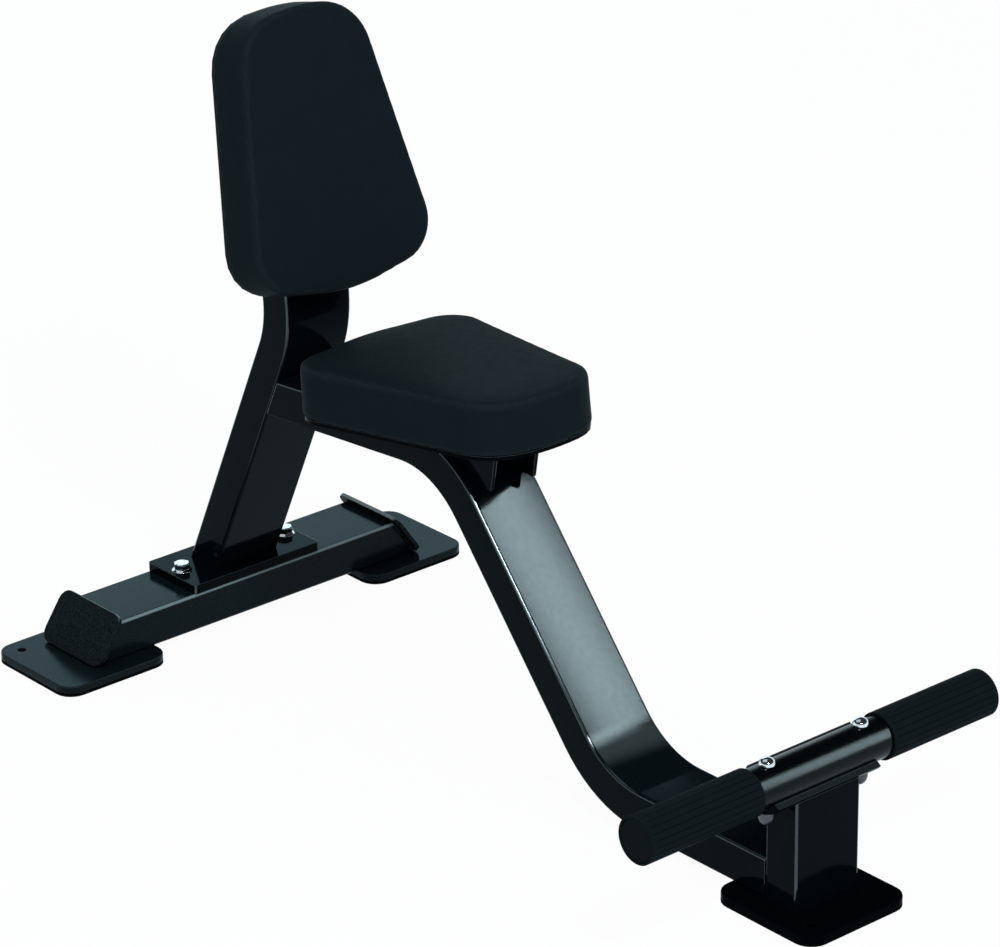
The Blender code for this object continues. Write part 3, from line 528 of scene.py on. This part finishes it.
def plate_paint():
    """Rough powder coat on the end plates and the plates behind the pads, with a highlight painted where they
    face up.
    """
    look = Look("plate_paint")
    look.set(Specular_Tint=TINT, Specular_IOR_Level=0.04)
    speckle = look.noise(420, 3, 0.65)
    arris = look.edges(0.0012)
    coarse = look.ranged(speckle, 0.40, 0.60)
    coat = look.blend(coarse, (0.0012, 0.0026, 0.0034), (0.0100, 0.0160, 0.0190))
    # Painted highlight: where the plates' edges and faces turn upward, the coat is paler.
    upward_highlight = look.ranged(look.toward(arris, "Z"), 0.65, 0.78)
    look.colour(look.with_painted_highlight(coat, upward_highlight, (0.190, 0.225, 0.235)))
    look.roughness(160, 0.42, 0.56)
    return look.bump([(speckle, 0.00030)], arris)


def chrome():
    """Bright plating, faintly smudged."""
    look = Look("chrome")
    look.set(Metallic=1.0)
    look.colour(look.blend(look.noise(160), (0.80, 0.81, 0.83), (0.90, 0.91, 0.92)))
    look.roughness(220, 0.05, 0.10)
    return look.bump([(look.noise(900, 2), 0.000006)], look.edges(0.0004))


def screw_steel():
    """Blackened steel."""
    look = Look("screw_steel")
    look.set(Metallic=1.0)
    look.colour(look.blend(look.noise(300), (0.07, 0.07, 0.08), (0.13, 0.13, 0.14)))
    look.roughness(400, 0.30, 0.42)
    return look.bump([(look.noise(1500, 2), 0.00002)], look.edges(0.0004))


def grip_rubber():
    """Matt moulded rubber."""
    look = Look("grip_rubber")
    look.set(Specular_Tint=TINT, Specular_IOR_Level=0.015)
    look.colour(look.blend(look.noise(500), (0.0042, 0.0072, 0.0088), (0.0078, 0.0122, 0.0146)))
    look.roughness(300, 0.55, 0.68)
    return look.bump([(look.noise(1100), 0.00005)], look.edges(0.0004))


def pad_rubber():
    """Soft black rubber under the feet."""
    look = Look("pad_rubber")
    look.set(Specular_IOR_Level=0.03)
    look.colour(look.blend(look.noise(400), (0.0008, 0.0012, 0.0014), (0.0022, 0.0030, 0.0034)))
    look.roughness(300, 0.70, 0.85)
    return look.bump([(look.noise(900), 0.00006)], look.edges(0.0004))


def cap_plastic():
    """Moulded plastic with a fine spark-eroded texture."""
    look = Look("cap_plastic")
    look.set(Specular_Tint=TINT, Specular_IOR_Level=0.02)
    look.colour(look.blend(look.noise(500), (0.0028, 0.0052, 0.0064), (0.0042, 0.0070, 0.0084)))
    look.roughness(300, 0.42, 0.55)
    return look.bump([(look.noise(1600, 2), 0.00003)], look.edges(0.0005))


def board_plastic():
    """Gloss black sheet under the seat cushion."""
    look = Look("board_plastic")
    look.set(Specular_Tint=TINT, Specular_IOR_Level=0.015)
    arris = look.edges(0.0006)
    sheet = look.blend(look.noise(90), (0.0006, 0.0012, 0.0016), (0.0012, 0.0022, 0.0028))
    # Painted highlight: the sheet goes paler beside its sharp edges that face up.
    look.colour(look.with_painted_highlight(sheet, look.sharp(arris), (0.120, 0.150, 0.160)))
    look.roughness(80, 0.10, 0.16)
    return look.bump([(look.noise(160, 2), 0.00002)], arris)


def upholstery():
    """Dark blue-black vinyl with a pebbled grain, and a highlight painted on its round edges."""
    look = Look("upholstery")
    look.set(Specular_Tint=TINT, Specular_IOR_Level=0.009, Sheen_Weight=0.002, Sheen_Roughness=0.4)
    cloud = look.noise(30, 4, 0.55)
    cover = look.blend(look.ranged(cloud, 0.3, 0.7), (0.0072, 0.0120, 0.0148), (0.0078, 0.0128, 0.0158))
    # Painted highlight: the vinyl is paler where it bulges round the cushions' edges.
    look.colour(look.with_painted_highlight(cover, look.bulge(), (0.0135, 0.0205, 0.0245)))
    look.roughness(90, 0.46, 0.52)
    grain = look.ranged(look.cells(950), 0.0, 0.25)
    return look.bump([(grain, 0.000022), (look.noise(2400, 2), 0.000010)])


def soft_shading():
    """Node group that joins a solid's facets and shades them smooth up to an angle."""
    tree = bpy.data.node_groups.new("soft_shading", "GeometryNodeTree")
    tree.interface.new_socket("Geometry", in_out="INPUT", socket_type="NodeSocketGeometry")
    tree.interface.new_socket("Geometry", in_out="OUTPUT", socket_type="NodeSocketGeometry")
    start = tree.nodes.new("NodeGroupInput")
    stop = tree.nodes.new("NodeGroupOutput")
    join = tree.nodes.new("GeometryNodeMergeByDistance")
    join.inputs["Distance"].default_value = JOIN_DISTANCE
    angle = tree.nodes.new("GeometryNodeInputMeshEdgeAngle")
    sharp = tree.nodes.new("ShaderNodeMath")
    sharp.operation = "GREATER_THAN"
    sharp.inputs[1].default_value = SHARP_ANGLE
    normal = tree.nodes.new("GeometryNodeSetMeshNormal")
    normal.mode = "SHARPNESS"
    normal.inputs["Remove Custom"].default_value = True
    tree.links.new(start.outputs[0], join.inputs["Geometry"])
    tree.links.new(join.outputs[0], normal.inputs["Mesh"])
    tree.links.new(angle.outputs["Unsigned Angle"], sharp.inputs[0])
    tree.links.new(sharp.outputs[0], normal.inputs["Edge Sharpness"])
    tree.links.new(normal.outputs[0], stop.inputs[0])
    return tree


def shade(node, group):
    """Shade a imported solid's bends and round faces smooth and keep its flat faces flat."""
    join = node.modifiers.new("soft_shading", "NODES")
    join.node_group = group
    weigh = node.modifiers.new("flat_faces", "WEIGHTED_NORMAL")
    weigh.mode = "FACE_AREA"
    weigh.keep_sharp = True


def dress():
    """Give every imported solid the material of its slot, or one of its own. The slots' looks are returned."""
    looks = {
        "frame_paint": frame_paint(),
        "foot_paint": foot_paint("foot_paint", FOOT_ARRIS_HIGHLIGHT),
        "plate_paint": plate_paint(),
        "chrome": chrome(),
        "screw_steel": screw_steel(),
        "grip_rubber": grip_rubber(),
        "pad_rubber": pad_rubber(),
        "cap_plastic": cap_plastic(),
        "board_plastic": board_plastic(),
        "upholstery": upholstery(),
    }
    finer = {
        "footrest_bar": bar_paint(),
        "cradle": cradle_paint(),
        "front_foot_plate": front_foot_shaded_paint(),
        "rear_crossbar": foot_paint("crossbar_paint", CROSSBAR_ARRIS_HIGHLIGHT),
        "back_board": looks["upholstery"],
        # Painted shade: the dome nuts take the dark steel in place of their slot's finish, for the dark
        # underside they mirror.
        "left_dome_nut": looks["screw_steel"],
        "right_dome_nut": looks["screw_steel"],
    }
    group = soft_shading()
    for part in frame["record"]["subparts"]:
        name = part["node"]
        shade(nodes[name], group)
        for slot in nodes[name].material_slots:
            slot.material = finer.get(name, looks[part["material_slot"]])
    return looks


# Cushions

def rounded(corners, radii, inset):
    """Closed outline through the corners, each rounded to its radius, drawn in by inset all round."""
    count = len(corners)
    arcs = []
    for here in range(count):
        corner = Vector(corners[here])
        arriving = (corner - Vector(corners[here - 1])).normalized()
        leaving = (Vector(corners[(here + 1) % count]) - corner).normalized()
        in_arriving = Vector((-arriving.y, arriving.x))
        in_leaving = Vector((-leaving.y, leaving.x))
        corner = corner + (in_arriving + in_leaving) * inset / (1 + in_arriving.dot(in_leaving))
        radius = max(radii[here], inset + LEAST_CORNER) - inset
        turn = arriving.angle(leaving)
        start = corner - arriving * radius * tan(turn / 2)
        centre = start + in_arriving * radius
        spoke = start - centre
        arcs.append([centre + Matrix.Rotation(turn * step / ROUND_STEPS, 2) @ spoke
                     for step in range(ROUND_STEPS + 1)])
    outline = []
    for here in range(count):
        outline.extend(arcs[here])
        start = arcs[here][-1]
        stop = arcs[(here + 1) % count][0]
        outline.extend(start.lerp(stop, step / SIDE_STEPS) for step in range(1, SIDE_STEPS))
    return outline


def pad_corners(low, high, middle_half, taper, low_bow, high_bow):
    """Corners of a pad that narrows toward high, or toward low if its taper is negative. Both ends bow."""
    low_half = middle_half - taper * low
    high_half = middle_half - taper * high
    return [(-low_half, low + low_bow), (0, low), (low_half, low + low_bow),
            (high_half, high - high_bow), (0, high), (-high_half, high - high_bow)]


def side_profile(deep, tuck):
    """Side of a cushion as (inset, height): tucked in at the board, rounded at the top edge, then crowned."""
    edge = deep + FULLER_EDGE
    profile = []
    for step in range(PROFILE_STEPS):
        swing = pi / 2 * step / PROFILE_STEPS
        profile.append((tuck * (1 - sin(swing)), CUSHION_TUCK_TALL * (1 - cos(swing))))
    for step in range(PROFILE_STEPS):
        swing = pi / 2 * step / PROFILE_STEPS
        profile.append((CUSHION_ROUND * (1 - cos(swing)), edge - CUSHION_ROUND * (1 - sin(swing))))
    for step in range(PROFILE_STEPS + 1):
        share = step / PROFILE_STEPS
        inset = CUSHION_ROUND + (CUSHION_DOME - CUSHION_ROUND) * share
        profile.append((inset, edge + (CUSHION_CROWN - FULLER_EDGE) * sin(pi / 2 * share)))
    return profile


def spread(mesh, moves):
    """Even out the moves of neighbouring points, so that the cover stays taut and free of puckers."""
    pairs = numpy.array([edge.vertices[:] for edge in mesh.edges])
    both = numpy.concatenate((pairs, pairs[:, ::-1]))
    count = numpy.bincount(both[:, 0], minlength=len(moves)).reshape(-1, 1)
    for _ in range(SMOOTH_PASSES):
        total = numpy.zeros_like(moves)
        numpy.add.at(total, both[:, 0], moves[both[:, 1]])
        moves = 0.5 * moves + 0.5 * total / count
    return moves


def stuffed(made):
    """Swell a closed mesh by a pressurised cloth, held where it rests, each point kept close to its start."""
    bpy.context.view_layer.objects.active = made
    remesh = made.modifiers.new("remesh", "REMESH")
    remesh.mode = "VOXEL"
    remesh.voxel_size = VOXEL
    bpy.ops.object.modifier_apply(modifier=remesh.name)
    start = numpy.array([vertex.co[:] for vertex in made.data.vertices])
    lowest = start[:, 2].min()
    held = made.vertex_groups.new(name="held")
    held.add([int(index) for index in numpy.flatnonzero(start[:, 2] < lowest + VOXEL / 2)], 1.0, "REPLACE")
    cloth = made.modifiers.new("stuffing", "CLOTH")
    cloth.settings.vertex_group_mass = "held"
    cloth.settings.use_pressure = True
    cloth.settings.uniform_pressure_force = PRESSURE
    cloth.settings.effector_weights.gravity = 0
    cloth.settings.tension_stiffness = STRETCH_STIFFNESS
    cloth.settings.compression_stiffness = STRETCH_STIFFNESS
    cloth.settings.bending_stiffness = BENDING_STIFFNESS
    for step in range(1, CLOTH_FRAMES + 1):
        scene.frame_set(step)
    ready = made.evaluated_get(bpy.context.evaluated_depsgraph_get())
    swollen = numpy.array([vertex.co[:] for vertex in ready.data.vertices])
    made.modifiers.remove(cloth)
    moves = spread(made.data, swollen - start)
    far = numpy.maximum(numpy.linalg.norm(moves, axis=1, keepdims=True), LEAST_MOVE)
    made.data.vertices.foreach_set("co", (start + moves * SWELL * numpy.tanh(far / SWELL) / far).ravel())
    made.data.update()
    scene.frame_set(1)


def cushion(name, node, corners, radii, bottom, deep, tuck, place, look):
    """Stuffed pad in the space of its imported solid."""
    shape = bmesh.new()
    rings = []
    for inset, height in side_profile(deep - SWELL, tuck):
        outline = rounded(corners, radii, inset - FULLER_SIDE + SWELL * min(height / SWELL_FROM, 1))
        rings.append([shape.verts.new((point.x, point.y, bottom + height)) for point in outline])
    shape.faces.new(rings[0])
    shape.faces.new(rings[-1])
    for lower, upper in zip(rings, rings[1:]):
        for here in range(len(lower)):
            after = (here + 1) % len(lower)
            shape.faces.new((lower[here], lower[after], upper[after], upper[here]))
    bmesh.ops.recalc_face_normals(shape, faces=shape.faces[:])
    mesh = bpy.data.meshes.new(name)
    shape.to_mesh(mesh)
    shape.free()
    made = bpy.data.objects.new(name, mesh)
    scene.collection.objects.link(made)
    stuffed(made)
    made.data.shade_smooth()
    finer = made.modifiers.new("finer", "SUBSURF")
    finer.levels = 1
    finer.render_levels = 1
    made.data.materials.clear()
    made.data.materials.append(look)
    made.matrix_world = place
    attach(made, "root")
    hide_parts(node)


def pad_radii(low, high):
    """Radius of each of a pad's six corners."""
    return [low, PAD_BOW_RADIUS, low, high, PAD_BOW_RADIUS, high]


def seat_pad(look):
    """Seat cushion, tucked in a little where it meets its board."""
    place = Matrix.Translation(SEAT_ORIGIN) @ Matrix.Rotation(-SEAT_FALL, 4, "X")
    corners = pad_corners(SEAT_FRONT, SEAT_REAR, SEAT_HALF, SEAT_TAPER, SEAT_FRONT_BOW, SEAT_REAR_BOW)
    radii = pad_radii(SEAT_FRONT_ROUND, SEAT_REAR_ROUND)
    cushion("seat_upholstery", "seat_cushion", corners, radii, SEAT_BOTTOM, SEAT_DEEP, SEAT_TUCK, place, look)


def back_pad(look):
    """Back cushion, its side straight down to its board."""
    place = Matrix.Translation(BACK_ORIGIN) @ Matrix.Rotation(pi / 2 - BACK_LEAN, 4, "X")
    corners = pad_corners(BACK_LOW, BACK_HIGH, BACK_HALF, BACK_TAPER, BACK_LOW_BOW, BACK_HIGH_BOW)
    radii = pad_radii(BACK_LOW_ROUND, BACK_HIGH_ROUND)
    cushion("back_upholstery", "back_cushion", corners, radii, BACK_BOTTOM, BACK_DEEP, 0, place, look)


low_key, high_key, side_key, bar_key = studio()
vinyl = dress()["upholstery"]
seat_pad(vinyl)
back_pad(vinyl)
aimed(low_key, (nodes["spine"],))
aimed(high_key, (nodes["spine"],))
aimed(side_key, (nodes["spine"], nodes["rear_upright"], nodes["front_post"]))
aimed(bar_key, (nodes["footrest_bar"],))
